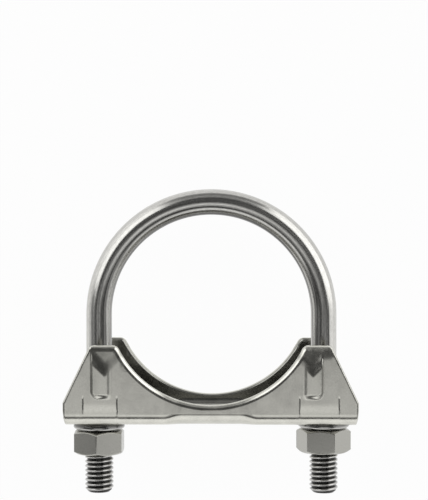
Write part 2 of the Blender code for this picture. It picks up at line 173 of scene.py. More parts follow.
# Worked out from the sizes above
BEND_RADIUS = (PIPE_DIAMETER + ROD_DIAMETER) / 2
CROWN = BEND_RADIUS + ROD_DIAMETER / 2
SEAT_RADIUS = PIPE_DIAMETER / 2
SEAT_CENTRE_Y = SEAT_RADIUS - SEAT_DEPTH
SADDLE_HALF = BEND_RADIUS + SADDLE_END
NUT_CORNER = NUT_ACROSS_FLATS / 2 / math.cos(math.pi / 6)
WASHER_TOP_Y = -WEB_DEPTH - SEAT_GAP
NUT_TOP_Y = WASHER_TOP_Y - WASHER_THICKNESS - SEAT_GAP
CHEEK_FOOT_Y = -WEB_DEPTH + FOLD_RADIUS * (1 - math.sin(CHEEK_SPLAY))
FOLD_TURN = math.pi / 2 - CHEEK_SPLAY
SHOULDER = Vector((SADDLE_HALF, -SHOULDER_DEPTH, 0))
SLOPE = (Vector((BEND_RADIUS + HORN_OVERHANG, -HORN_DEPTH, 0)) - SHOULDER).normalized()
SLOPE_LEAN = math.atan2(SLOPE.x, SLOPE.y)
SLOPE_WAY_OUT = Vector((SLOPE.y, -SLOPE.x, 0))
CORNER_CENTRE = Vector((BEND_RADIUS + HORN_OVERHANG - HORN_CORNER * math.tan((math.pi / 2 + SLOPE_LEAN) / 2),
                        -HORN_DEPTH - HORN_CORNER, 0))
OVERSHOOT = 2.0 * MM
THREAD_TOP = THREAD_LENGTH + THREAD_RUN_OUT
ROD_LOW, ROD_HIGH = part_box("u_bolt")
BEND_CENTRE = Vector((0, ROD_HIGH.y - CROWN, (ROD_LOW.z + ROD_HIGH.z) / 2))


# ---- Modelling by hand -------------------------------------------------------

def make_active(piece):
    bpy.ops.object.select_all(action="DESELECT")
    piece.select_set(True)
    bpy.context.view_layer.objects.active = piece


def add_primitive(kind, name, **where):
    """A primitive that is selected alone, with its place in its mesh."""
    bpy.ops.object.select_all(action="DESELECT")
    getattr(bpy.ops.mesh, "primitive_" + kind + "_add")(**where)
    piece = bpy.context.active_object
    piece.name = name
    piece.data.name = name
    bpy.ops.object.transform_apply(location=True, rotation=True, scale=True)
    return piece


def apply_modifier(piece, kind, **settings):
    make_active(piece)
    step = piece.modifiers.new(kind.lower(), kind)
    for key, value in settings.items():
        setattr(step, key, value)
    bpy.ops.object.modifier_apply(modifier=step.name)


def pick(kind, test):
    """In edit mode, select only the verts, edges or faces that pass a test."""
    mesh = bpy.context.edit_object.data
    bpy.ops.mesh.select_mode(type={"verts": "VERT", "edges": "EDGE", "faces": "FACE"}[kind])
    bpy.ops.mesh.select_all(action="DESELECT")
    bm = bmesh.from_edit_mesh(mesh)
    for part in getattr(bm, kind):
        if test(part):
            part.select_set(True)
    bm.select_flush_mode()
    bmesh.update_edit_mesh(mesh)


def draw_line(name, points):
    """A line drawn from point to point by extruding its last vertex; stays in edit mode."""
    piece = add_primitive("plane", name, size=MM)
    bpy.ops.object.mode_set(mode="EDIT")
    bpy.ops.mesh.select_mode(type="VERT")
    bpy.ops.mesh.select_all(action="SELECT")
    bpy.ops.mesh.merge(type="CENTER")
    bpy.ops.transform.translate(value=points[0])
    for start, end in zip(points, points[1:]):
        bpy.ops.mesh.extrude_region_move(TRANSFORM_OT_translate={"value": end - start})
    return piece


def weld():
    """Merge what lies on the same spot and face everything outwards; leaves edit mode."""
    bpy.ops.mesh.select_all(action="SELECT")
    bpy.ops.mesh.remove_doubles(threshold=0.001 * MM)
    bpy.ops.mesh.normals_make_consistent(inside=False)
    bpy.ops.object.mode_set(mode="OBJECT")


def turn_profile(name, profile):
    """A profile of (radius, height) points spun once round Z."""
    piece = draw_line(name, [Vector((radius, 0, height)) for radius, height in profile])
    bpy.ops.mesh.select_all(action="SELECT")
    if profile[0][0] > 0:
        bpy.ops.mesh.edge_face_add()
        bpy.ops.mesh.delete(type="ONLY_FACE")
        bpy.ops.mesh.select_all(action="SELECT")
    bpy.ops.mesh.spin(steps=TURNED_STEPS, angle=2 * math.pi, center=(0, 0, 0), axis=(0, 0, 1))
    weld()
    return piece


def weigh_edges(piece, sharp, share_of):
    """Give each edge that is sharper than an angle its share of the bevel to come."""
    bm = bmesh.new()
    bm.from_mesh(piece.data)
    weight = bm.edges.layers.float.new("bevel_weight_edge")
    for edge in bm.edges:
        if len(edge.link_faces) == 2 and edge.calc_face_angle() > sharp:
            edge[weight] = share_of((edge.verts[0].co + edge.verts[1].co) / 2)
    bm.to_mesh(piece.data)
    bm.free()


def lay_painted_light(piece, share_of):
    """Each vertex's share of painted shade (above 0) or painted highlight (below 0), which the finish reads."""
    layer = piece.data.attributes.new("painted_light", "FLOAT", "POINT")
    for vertex in piece.data.vertices:
        layer.data[vertex.index].value = share_of(vertex.co)


def cut(target, cutter, operation):
    apply_modifier(target, "BOOLEAN", operation=operation, object=cutter, solver="EXACT")


def copied(piece):
    twin = piece.copy()
    twin.data = piece.data.copy()
    bpy.context.collection.objects.link(twin)
    return twin


def discard(piece):
    bpy.data.objects.remove(piece, do_unlink=True)


def rise(value, start, end):
    """0 before start, 1 after end, with a soft step between them."""
    share = min(max((value - start) / (end - start), 0.0), 1.0)
    return share * share * (3 - 2 * share)


def arc(centre, radius, start, end, steps):
    turns = [start + (end - start) * i / steps for i in range(steps + 1)]
    return [Vector((centre[0] + radius * math.cos(a), centre[1] + radius * math.sin(a), 0)) for a in turns]


def spread(start, end, count):
    return [start + (end - start) * i / count for i in range(count + 1)]


def set_in_place(piece, x=0.0, y=0.0, turn=None):
    """Move a finished piece from about the bend's centre to its place, and smooth it."""
    make_active(piece)
    piece.location = BEND_CENTRE + Vector((x, y, 0))
    if turn is not None:
        piece.rotation_euler = (math.pi / 2, turn, 0)
    bpy.ops.object.transform_apply(location=True, rotation=True, scale=True)
    bpy.ops.object.shade_smooth_by_angle(angle=SMOOTH_ANGLE)
    apply_modifier(piece, "WEIGHTED_NORMAL", keep_sharp=True)


# ---- Saddle ------------------------------------------------------------------

def cheek_width(y):
    """Half the width over the cheeks at a height."""
    return SADDLE_WIDTH / 2 + (y - CHEEK_FOOT_Y) * math.tan(CHEEK_SPLAY)


def fold_centre(radius):
    y = -WEB_DEPTH + radius
    return y, cheek_width(y) - radius / math.cos(CHEEK_SPLAY)


def fold_sheet():
    """Half the web drawn flat, spun round the fold and drawn up the cheek, then mirrored."""
    centre_y, centre_z = fold_centre(FOLD_RADIUS)
    reach = SADDLE_HALF + OVERSHOOT
    sheet = draw_line("saddle", [Vector((-reach, -WEB_DEPTH, 0)), Vector((reach, -WEB_DEPTH, 0))])
    bpy.ops.mesh.select_all(action="SELECT")
    bpy.ops.mesh.extrude_region_move(TRANSFORM_OT_translate={"value": (0, 0, centre_z)})
    bpy.ops.mesh.spin(steps=FOLD_STEPS, angle=FOLD_TURN, center=(0, centre_y, centre_z), axis=(1, 0, 0))
    top = -HORN_DEPTH + OVERSHOOT
    rising = Vector((0, top - CHEEK_FOOT_Y, cheek_width(top) - cheek_width(CHEEK_FOOT_Y)))
    bpy.ops.mesh.extrude_region_move(TRANSFORM_OT_translate={"value": rising})
    weld()
    apply_modifier(sheet, "MIRROR", use_axis=(False, False, True), merge_threshold=0.001 * MM)
    bpy.ops.object.mode_set(mode="EDIT")
    weld()
    if sheet.data.polygons[0].normal.y > 0:
        sheet.data.flip_normals()
    apply_modifier(sheet, "SOLIDIFY", thickness=SHEET_THICKNESS, offset=-1, use_even_offset=True)
    return sheet


def outline_points():
    """The saddle seen from the front, as its blank is cut."""
    inner = math.sqrt((SEAT_RADIUS + SEAT_CORNER) ** 2 - (SEAT_CENTRE_Y + HORN_DEPTH + SEAT_CORNER) ** 2)
    corner = arc(CORNER_CENTRE, HORN_CORNER, -SLOPE_LEAN, math.pi / 2, 8)
    centre = Vector((inner, -HORN_DEPTH - SEAT_CORNER, 0))
    to_seat = Vector((0, SEAT_CENTRE_Y, 0)) - centre
    inner_corner = arc(centre, SEAT_CORNER, math.pi / 2, math.atan2(to_seat.y, to_seat.x), 7)
    start = math.atan2(centre.y - SEAT_CENTRE_Y, centre.x)
    seat = arc((0, SEAT_CENTRE_Y), SEAT_RADIUS, start, -math.pi / 2, 36)
    foot = -WEB_DEPTH - OVERSHOOT
    draw_in = FOOT_DRAW_IN * (WEB_DEPTH + OVERSHOOT - FOOT_DEPTH) / (WEB_DEPTH - FOOT_DEPTH)
    right = [Vector((SADDLE_HALF - draw_in, foot, 0)), Vector((SADDLE_HALF, -FOOT_DEPTH, 0)), SHOULDER]
    right += corner + inner_corner + seat[1:]
    left = [Vector((-point.x, point.y, 0)) for point in reversed(right[:-1])]
    return right + left


def trim_sheet(sheet):
    """The blank's outline and the two holes are cut through the folded sheet."""
    depth = SADDLE_WIDTH / 2 + 3 * OVERSHOOT
    outline = draw_line("outline", [point - Vector((0, 0, depth)) for point in outline_points()])
    bpy.ops.mesh.select_all(action="SELECT")
    bpy.ops.mesh.edge_face_add()
    bpy.ops.mesh.extrude_region_move(TRANSFORM_OT_translate={"value": (0, 0, 2 * depth)})
    weld()
    cut(sheet, outline, "INTERSECT")
    discard(outline)
    for side in (-1, 1):
        hole = add_primitive("cylinder", "hole", vertices=64, radius=HOLE_RADIUS, depth=4 * SHEET_THICKNESS,
                             location=(side * BEND_RADIUS, -WEB_DEPTH, 0), rotation=(math.pi / 2, 0, 0))
        cut(sheet, hole, "DIFFERENCE")
        discard(hole)


def rounding_share(middle):
    """How far an edge is rounded: most towards the pipe, less on the slopes, ends and holes."""
    beside_leg = math.hypot(abs(middle.x) - BEND_RADIUS, middle.z)
    if middle.y < CHEEK_FOOT_Y and beside_leg < HOLE_RADIUS + 0.1 * MM:
        return HOLE_ROUNDING
    corner_end = CORNER_CENTRE.x + HORN_CORNER * math.cos(SLOPE_LEAN)
    inward = 1 - rise(abs(middle.x), CORNER_CENTRE.x, corner_end)
    return END_ROUNDING + (1 - END_ROUNDING) * inward


def line_skin(sheet):
    """Loops in the outer skin beside its edges, past where they are eased."""
    make_active(sheet)
    bpy.ops.object.mode_set(mode="EDIT")
    bpy.ops.mesh.select_all(action="SELECT")
    bpy.ops.mesh.remove_doubles(threshold=0.001 * MM)
    pick("faces", lambda face: depth_in(face.calc_center_median()) < 0.1 * MM)
    for reach in SKIN_LOOPS:
        bpy.ops.mesh.inset(thickness=reach, use_even_offset=True, use_boundary=True)
    bpy.ops.object.mode_set(mode="OBJECT")


def round_edges(sheet):
    weigh_edges(sheet, SHARP_CORNER, rounding_share)
    apply_modifier(sheet, "BEVEL", width=SEAT_ROUNDING, segments=6, limit_method="WEIGHT", use_clamp_overlap=False,
                   profile=EASED_PROFILE)


def fold_angle(place):
    """How far round the fold a place lies: 0 at the web, FOLD_TURN at the cheek."""
    centre_y, centre_z = fold_centre(FOLD_RADIUS)
    side = abs(place.z) - centre_z
    if side <= 0:
        return 0.0
    return min(math.atan2(side, centre_y - place.y), FOLD_TURN)


def outward(place):
    turn = fold_angle(place)
    return Vector((0, -math.cos(turn), math.copysign(math.sin(turn), place.z)))


def depth_in(place):
    """How deep a place lies under the sheet's outer skin."""
    centre_y, centre_z = fold_centre(FOLD_RADIUS)
    offset = Vector((0, place.y - centre_y, math.copysign(max(abs(place.z) - centre_z, 0), place.z)))
    return FOLD_RADIUS - offset.dot(outward(place))


def widened(place):
    """Where a place on the fold comes to lie once the fold is widened under the cut-out."""
    centre_y, centre_z = fold_centre(FOLD_RADIUS)
    turn = fold_angle(place)
    offset = Vector((0, place.y - centre_y, abs(place.z) - centre_z))
    beside = abs(offset.y * math.sin(turn) + offset.z * math.cos(turn))
    if beside > 0.01 * MM:
        return place
    side = rise(abs(place.x), SEAT_FOLD_FLAT / 2, SEAT_FOLD_FLAT / 2 + SEAT_FOLD_BLEND)
    radius = SEAT_FOLD_RADIUS + (FOLD_RADIUS - SEAT_FOLD_RADIUS) * side
    centre_y, centre_z = fold_centre(radius)
    reach = radius - (FOLD_RADIUS - offset.length)
    z = centre_z + reach * math.sin(turn)
    return Vector((place.x, centre_y - reach * math.cos(turn), math.copysign(z, place.z)))


def side_of(place):
    return -1 if place.x < 0 else 1


def bead_wall(out, below):
    """1 on top of a bead and 0 past its wall; the outer side turns into the foot by a round corner."""
    aside = out - BEAD_WIDTH / 2 + BEAD_CORNER
    under = below + BEAD_CORNER
    lower = 0.0 if aside > under else 1.0
    past = max(aside, under) - BEAD_CORNER
    if aside > 0 and under > 0:
        lower = math.atan2(under, aside) / (math.pi / 2)
        past = math.hypot(aside, under) - BEAD_CORNER
    wall = BEAD_OUTER_WALL + (BEAD_LOWER_WALL - BEAD_OUTER_WALL) * lower
    return 1 - rise(past, -wall, 0)


def run_out(place):
    """1 along a bead and 0 past the wedge in which it ends above."""
    start = -WEDGE_DEPTH + WEDGE_SLANT * abs(abs(place.x) - PRESSED[side_of(place)]["wedge"])
    gone = min(max((place.y - start) / WEDGE_LENGTH, 0.0), 1.0)
    return 1 - gone * (1.25 - 0.25 * gone ** 4)


def bead(place):
    """Steep outside and at the foot, and falling gently to the inner side."""
    out = abs(place.x) - PRESSED[side_of(place)]["bead"]
    crown = BEAD_WIDTH / 2 - BEAD_OUTER_WALL
    fall = min(max((crown - out) / (crown + BEAD_WIDTH / 2), 0.0), 1.0)
    inner = rise(out, -BEAD_WIDTH / 2 - BEAD_INNER_WALL / 2, -BEAD_WIDTH / 2 + BEAD_INNER_WALL / 2)
    walled = bead_wall(out, -place.y - BEAD_FOOT_DEPTH)
    return BEAD_HEIGHT * walled * inner * run_out(place) * (1 - BEAD_FALL * fall ** 1.3)


def channel(place):
    """A flat across the fold below each leg, with a crease up the cheek from each of its ends."""
    low, high = PRESSED[side_of(place)]["channel"]
    across = rise(abs(place.x), low - CHANNEL_WALL / 2, low + CHANNEL_WALL / 2)
    across -= rise(abs(place.x), high - CHANNEL_WALL / 2, high + CHANNEL_WALL / 2)
    around = rise(fold_angle(place), *CHANNEL_FOLD)
    flat = CHANNEL_HEIGHT * across * around * (1 - rise(place.y, CHEEK_FOOT_Y, CHEEK_FOOT_Y + CHANNEL_FADE))
    beside = min(abs(abs(place.x) - low), abs(abs(place.x) - high))
    up_cheek = rise(place.y, CHEEK_FOOT_Y, CHEEK_FOOT_Y + MM)
    up_cheek -= rise(place.y, -CREASE_TOP_DEPTH - MM, -CREASE_TOP_DEPTH)
    return flat + CREASE_DEPTH * up_cheek * (1 - rise(beside, 0, CREASE_WIDTH / 2))


def from_cut(place):
    """How far in from the edge that the die cut, or from where that is eased."""
    flat = Vector((abs(place.x), place.y, 0))
    from_slope = (SHOULDER - flat).dot(SLOPE_WAY_OUT)
    from_seat = (flat - Vector((0, SEAT_CENTRE_Y, 0))).length - SEAT_RADIUS
    from_eased = min(from_seat, -HORN_DEPTH - place.y) - SEAT_ROUNDING
    return min(from_slope, SADDLE_HALF - flat.x, from_eased)


def skin_roll(place):
    """How far the outer skin leans in beside an edge that the die cut."""
    outer = 1 - rise(depth_in(place), *OUTER_DEPTH)
    share = min(max(1 - from_cut(place) / ROLL_WIDTH, 0.0), 1.0)
    return ROLL_WIDTH * math.tan(ROLL_ANGLE) * outer * share ** 1.5


def horn_lean(place):
    """How far a horn leans in at its top, from the bead's wedge up."""
    form = PRESSED[side_of(place)]
    beside = min(abs(abs(place.x) - form["wedge"]), LEAN_REACH)
    past = max(place.y + HORN_BEND_DEPTH - LEAN_SLANT * beside, 0.0)
    return math.tan(form["lean"]) * past * past / (past + HORN_BEND)


def painted_light(place):
    """Above 0 where shade is painted on the bead walls, inside, beside the cut edges and in the wedges; below 0 where
    a highlight is painted along the eased edges.
    """
    out = abs(place.x) - PRESSED[side_of(place)]["bead"]
    walled = bead_wall(out, -place.y - BEAD_FOOT_DEPTH)
    steep = (1 - (2 * walled - 1) ** 4) * run_out(place) * rise(out, 0.5 * MM, BEAD_WIDTH / 2 - BEAD_OUTER_WALL)
    inside = rise(depth_in(place), *INSIDE_DEPTH)
    inward = from_cut(place)
    rolled = rise(inward, 0.0, PAINTED_SHADE_SETS_IN) - rise(inward, PAINTED_SHADE_SETS_IN, ROLL_WIDTH)
    ramp = 4 * run_out(place) * (1 - run_out(place)) * walled
    dark = max(PAINTED_SHADE_ON_WALLS * steep, PAINTED_SHADE_INSIDE * inside, PAINTED_SHADE_BESIDE_CUT * rolled, PAINTED_SHADE_IN_WEDGE * ramp)
    return dark - PAINTED_HIGHLIGHT * (1 - rise(inward, -PAINTED_HIGHLIGHT_EDGE, 0.0)) * (1 - inside)


def slice_faces(test, way, places):
    """Bisect the faces that pass a test by planes that stand across a direction."""
    for place in places:
        pick("faces", test)
        bpy.ops.mesh.bisect(plane_co=way * place, plane_no=way)


def press_forms(sheet):
    """Close slices where the sheet changes shape, then beads, channels, leans and the wide fold."""
    make_active(sheet)
    bpy.ops.object.mode_set(mode="EDIT")
    across = Vector((1, 0, 0))
    slices = []
    for side, form in PRESSED.items():
        middle = form["bead"]
        outer = middle + BEAD_WIDTH / 2
        inner_low = middle - BEAD_WIDTH / 2 - BEAD_INNER_WALL / 2
        inner_high = middle - BEAD_WIDTH / 2 + BEAD_INNER_WALL / 2
        lines = spread(outer - BEAD_CORNER, outer, 13)
        lines += spread(inner_high, outer - BEAD_CORNER, 11)[:-1]
        lines += spread(inner_low, inner_high, 5)[:-1]
        lines += [outer + GUARD, inner_low - GUARD]
        for edge in form["channel"]:
            lines += spread(edge - CHANNEL_WALL / 2, edge + CHANNEL_WALL / 2, 8)
        lines += spread(SEAT_FOLD_FLAT / 2, SEAT_FOLD_FLAT / 2 + SEAT_FOLD_BLEND, 8)
        slices += [side * line for line in lines]
    slice_faces(lambda face: True, across, sorted(slices))

    def beside_leg(face):
        middle = face.calc_center_median()
        return middle.y > CHEEK_FOOT_Y and abs(abs(middle.x) - BEND_RADIUS) < LEG_SURROUND

    foot = -BEAD_FOOT_DEPTH
    rows = spread(CHEEK_FOOT_Y, foot - GUARD, 8)[1:] + spread(foot, foot + BEAD_CORNER, 15)
    rows += spread(-WEDGE_DEPTH - 0.3 * MM, -HORN_DEPTH - SEAT_ROUNDING, 26)
    slice_faces(beside_leg, Vector((0, 1, 0)), rows)
    for side in (-1, 1):
        away = Vector((side * SLOPE_WAY_OUT.x, SLOPE_WAY_OUT.y, 0))
        for way, reach in ((away, SHOULDER.dot(SLOPE_WAY_OUT)), (across * side, SADDLE_HALF)):
            def near_edge(face):
                return max(corner.co.dot(way) for corner in face.verts) > reach - ROLL_WIDTH
            slice_faces(near_edge, way, spread(reach - ROLL_WIDTH, reach - END_ROUNDING * SEAT_ROUNDING, 4))
    bpy.ops.object.mode_set(mode="OBJECT")
    # Painted shade and painted highlight go into a vertex attribute that the finish reads.
    lay_painted_light(sheet, painted_light)
    for vertex in sheet.data.vertices:
        place = vertex.co.copy()
        inward = channel(place) + horn_lean(place) + skin_roll(place)
        vertex.co = widened(place) + outward(place) * (bead(place) - inward)
        vertex.co.x = min(max(vertex.co.x, -SADDLE_HALF), SADDLE_HALF)


def make_saddle():
    sheet = fold_sheet()
    trim_sheet(sheet)
    line_skin(sheet)
    round_edges(sheet)
    press_forms(sheet)
    set_in_place(sheet)
    return sheet


# ---- U-bolt ------------------------------------------------------------------

def rolled_thread():
    """One leg's thread, its own Z pointing out past the end of the leg, which is at 0."""
    low = -THREAD_TOP - 2 * PITCH
    root, crest = ROOT_RADIUS + 0.02 * MM, CREST_RADIUS - 0.05 * MM
    shape = [(0, ROOT_RADIUS), (0.09, root), (0.36, crest), (0.42, CREST_RADIUS),
             (0.58, CREST_RADIUS), (0.64, crest), (0.91, root), (1, ROOT_RADIUS)]
    thread = draw_line("thread", [Vector((radius, 0, low + share * PITCH)) for share, radius in shape])
    bpy.ops.object.mode_set(mode="OBJECT")
    turns = math.ceil((THREAD_TOP + 4 * PITCH) / PITCH)
    apply_modifier(thread, "SCREW", screw_offset=PITCH, iterations=turns, steps=THREAD_STEPS,
                   render_steps=THREAD_STEPS, use_merge_vertices=True, merge_threshold=0.0005 * MM)
    bpy.ops.object.mode_set(mode="EDIT")
    for height, side in ((-THREAD_TOP - PITCH / 2, -1), (PITCH / 2, 1)):
        bpy.ops.mesh.select_all(action="SELECT")
        bpy.ops.mesh.bisect(plane_co=(0, 0, height), plane_no=(0, 0, side), use_fill=True, clear_outer=True)
    weld()
    tip = CREST_RADIUS - END_CHAMFER
    barrel = turn_profile("leg_end", [(0, 0), (tip, 0), (CREST_RADIUS + OVERSHOOT, -END_CHAMFER - OVERSHOOT),
                                      (CREST_RADIUS + OVERSHOOT, -THREAD_TOP), (0, -THREAD_TOP)])
    cut(thread, barrel, "INTERSECT")
    discard(barrel)
    for vertex in thread.data.vertices:
        radius = math.hypot(vertex.co.x, vertex.co.y)
        fade = rise(-vertex.co.z, THREAD_LENGTH - PITCH / 2, THREAD_TOP)
        if radius > 0 and fade > 0:
            grown = (radius + (ROD_DIAMETER / 2 - radius) * fade) / radius
            vertex.co.x *= grown
            vertex.co.y *= grown
    make_active(thread)
    bpy.ops.object.mode_set(mode="EDIT")
    pick("faces", lambda face: face.normal.z < -0.99 and face.calc_center_median().z < -THREAD_TOP + 0.01 * MM)
    bpy.ops.mesh.delete(type="FACE")
    bpy.ops.object.mode_set(mode="OBJECT")
    return thread


def make_rod():
    """A circle drawn up one leg, spun round the bend and drawn down the other."""
    shank_end = -LEG_LENGTH + THREAD_TOP + BRIDGE_GAP
    rod = add_primitive("circle", "rod", vertices=ROD_SIDES, radius=ROD_DIAMETER / 2,
                        location=(BEND_RADIUS, shank_end, 0), rotation=(math.pi / 2, 0, 0))
    bpy.ops.object.mode_set(mode="EDIT")
    bpy.ops.mesh.select_mode(type="EDGE")
    bpy.ops.mesh.select_all(action="SELECT")
    bpy.ops.mesh.extrude_region_move(TRANSFORM_OT_translate={"value": (0, -shank_end, 0)})
    bpy.ops.mesh.spin(steps=BEND_STEPS, angle=-math.pi, center=(0, 0, 0), axis=(0, 0, 1))
    bpy.ops.mesh.extrude_region_move(TRANSFORM_OT_translate={"value": (0, shank_end, 0)})
    weld()
    right = rolled_thread()
    right.rotation_euler = (math.pi / 2, 0, 0)
    right.location = (BEND_RADIUS, -LEG_LENGTH, 0)
    left = copied(right)
    left.location.x = -BEND_RADIUS
    left.select_set(True)
    right.select_set(True)
    bpy.ops.object.transform_apply(location=True, rotation=True, scale=True)
    make_active(rod)
    left.select_set(True)
    right.select_set(True)
    bpy.ops.object.join()
    bpy.ops.object.mode_set(mode="EDIT")
    for side in (-1, 1):
        pick("edges", lambda edge: edge.is_boundary and edge.verts[0].co.x * side > 0)
        bpy.ops.mesh.bridge_edge_loops()
    weld()
    mark_drawing_direction(rod)
    for face in rod.data.polygons:
        face.material_index = int(face.center.y < -LEG_LENGTH + THREAD_LENGTH)
    set_in_place(rod)
    return rod


def mark_drawing_direction(rod):
    """Each point's place on the rod as it was drawn, before it was bent: across, across, along."""
    straight = rod.data.attributes.new("straight", "FLOAT_VECTOR", "POINT")
    for vertex in rod.data.vertices:
        x, y, z = vertex.co
        if y > 0:
            turn = math.atan2(y, x)
            place = (math.hypot(x, y) - BEND_RADIUS, z, BEND_RADIUS * turn)
        elif x > 0:
            place = (x - BEND_RADIUS, z, y)
        else:
            place = (-x - BEND_RADIUS, z, BEND_RADIUS * math.pi - y)
        straight.data[vertex.index].vector = place


# ---- Washers and nuts --------------------------------------------------------

def make_washer():
    """A thick turned washer with a round rim, its own Z pointing out towards the end of the leg."""
    rim = [(WASHER_DIAMETER / 2 - fall * MM, height * MM) for fall, height in WASHER_RIM]
    washer = turn_profile("washer", [(WASHER_BORE, 0)] + rim + [
        (WASHER_SMALL_DIAMETER / 2, WASHER_THICKNESS), (WASHER_BORE, WASHER_THICKNESS)])
    apply_modifier(washer, "BEVEL", width=WASHER_ROUNDING, segments=2, angle_limit=math.radians(30))

    # Painted shade on the part of the rim towards the saddle.
    def painted_rim_shade(place):
        inside = WASHER_DIAMETER / 2 - math.hypot(place.x, place.y)
        return WASHER_PAINTED_SHADE * (1 - rise(place.z, 1.0 * MM, 1.35 * MM)) * (1 - rise(inside, 0.6 * MM, 1.0 * MM))

    lay_painted_light(washer, painted_rim_shade)
    return washer


def make_nut():
    """A hexagon nut, chamfered at both ends by a turned barrel and countersunk."""
    nut = add_primitive("cylinder", "nut", vertices=6, radius=NUT_CORNER, depth=NUT_HEIGHT,
                        location=(0, 0, NUT_HEIGHT / 2))
    reach = NUT_CORNER + OVERSHOOT
    drop = (reach - NUT_CHAMFER_DIAMETER / 2) * math.tan(NUT_CHAMFER_ANGLE)
    end = NUT_CHAMFER_DIAMETER / 2 - NUT_BARREL_PAST / math.tan(NUT_CHAMFER_ANGLE)
    barrel = turn_profile("nut_barrel", [
        (0, NUT_HEIGHT + NUT_BARREL_PAST), (end, NUT_HEIGHT + NUT_BARREL_PAST), (reach, NUT_HEIGHT - drop),
        (reach, drop), (end, -NUT_BARREL_PAST), (0, -NUT_BARREL_PAST)])
    mouth = NUT_BORE + NUT_COUNTERSINK + OVERSHOOT
    bore = turn_profile("nut_bore", [
        (0, NUT_HEIGHT + OVERSHOOT), (mouth, NUT_HEIGHT + OVERSHOOT), (NUT_BORE, NUT_HEIGHT - NUT_COUNTERSINK),
        (NUT_BORE, NUT_COUNTERSINK), (mouth, -OVERSHOOT), (0, -OVERSHOOT)])
    cut(nut, barrel, "INTERSECT")
    cut(nut, bore, "DIFFERENCE")
    discard(barrel)
    discard(bore)

    def share(middle):
        return 1.0 if math.hypot(middle.x, middle.y) > NUT_BORE + MM else NUT_BORE_ROUNDING

    weigh_edges(nut, NUT_SHARP_CORNER, share)
    apply_modifier(nut, "BEVEL", width=NUT_ROUNDING, segments=4, limit_method="WEIGHT", use_clamp_overlap=False)
    return nut


# ---- Materials ---------------------------------------------------------------

def tone(code):
    """Linear colour from a hex code."""
    channels = [int(code[i:i + 2], 16) / 255 for i in (0, 2, 4)]
    linear = [c / 12.92 if c <= 0.04045 else ((c + 0.055) / 1.055) ** 2.4 for c in channels]
    return (*linear, 1.0)


def add_node(tree, kind, inputs=None, **settings):
    """One node with its settings and what goes into its sockets."""
    node = tree.nodes.new(kind)
    for key, value in settings.items():
        setattr(node, key, value)
    for key, value in (inputs or {}).items():
        if isinstance(value, bpy.types.NodeSocket):
            tree.links.new(value, node.inputs[key])
        else:
            node.inputs[key].default_value = value
    return node


def start_metal(name, colour, roughness):
    made = bpy.data.materials.new(name)
    made.use_nodes = True
    tree = made.node_tree
    shader = tree.nodes["Principled BSDF"]
    shader.inputs["Metallic"].default_value = 1.0
    shader.inputs["Base Color"].default_value = tone(colour)
    shader.inputs["Roughness"].default_value = roughness
    return made, tree, shader


def shade_by(tree, shader, colour, level):
    """The finish's colour times a level that varies over the piece."""
    tinted = add_node(tree, "ShaderNodeMix", {0: 1.0, 6: tone(colour), 7: level}, data_type="RGBA",
                      blend_type="MULTIPLY")
    tree.links.new(tinted.outputs[2], shader.inputs["Base Color"])


def roughen(tree, shader, gloss_by, gloss, dents_by, depth):
    """Roughness between two values by one pattern, and dents of a depth by another."""
    varied = add_node(tree, "ShaderNodeMapRange", {"Value": gloss_by.outputs["Fac"], "From Min": 0.3, "From Max": 0.7,
                                                   "To Min": gloss[0], "To Max": gloss[1]})
    tree.links.new(varied.outputs["Result"], shader.inputs["Roughness"])
    dents = add_node(tree, "ShaderNodeBump", {"Height": dents_by.outputs["Fac"], "Distance": depth})
    tree.links.new(dents.outputs["Normal"], shader.inputs["Normal"])


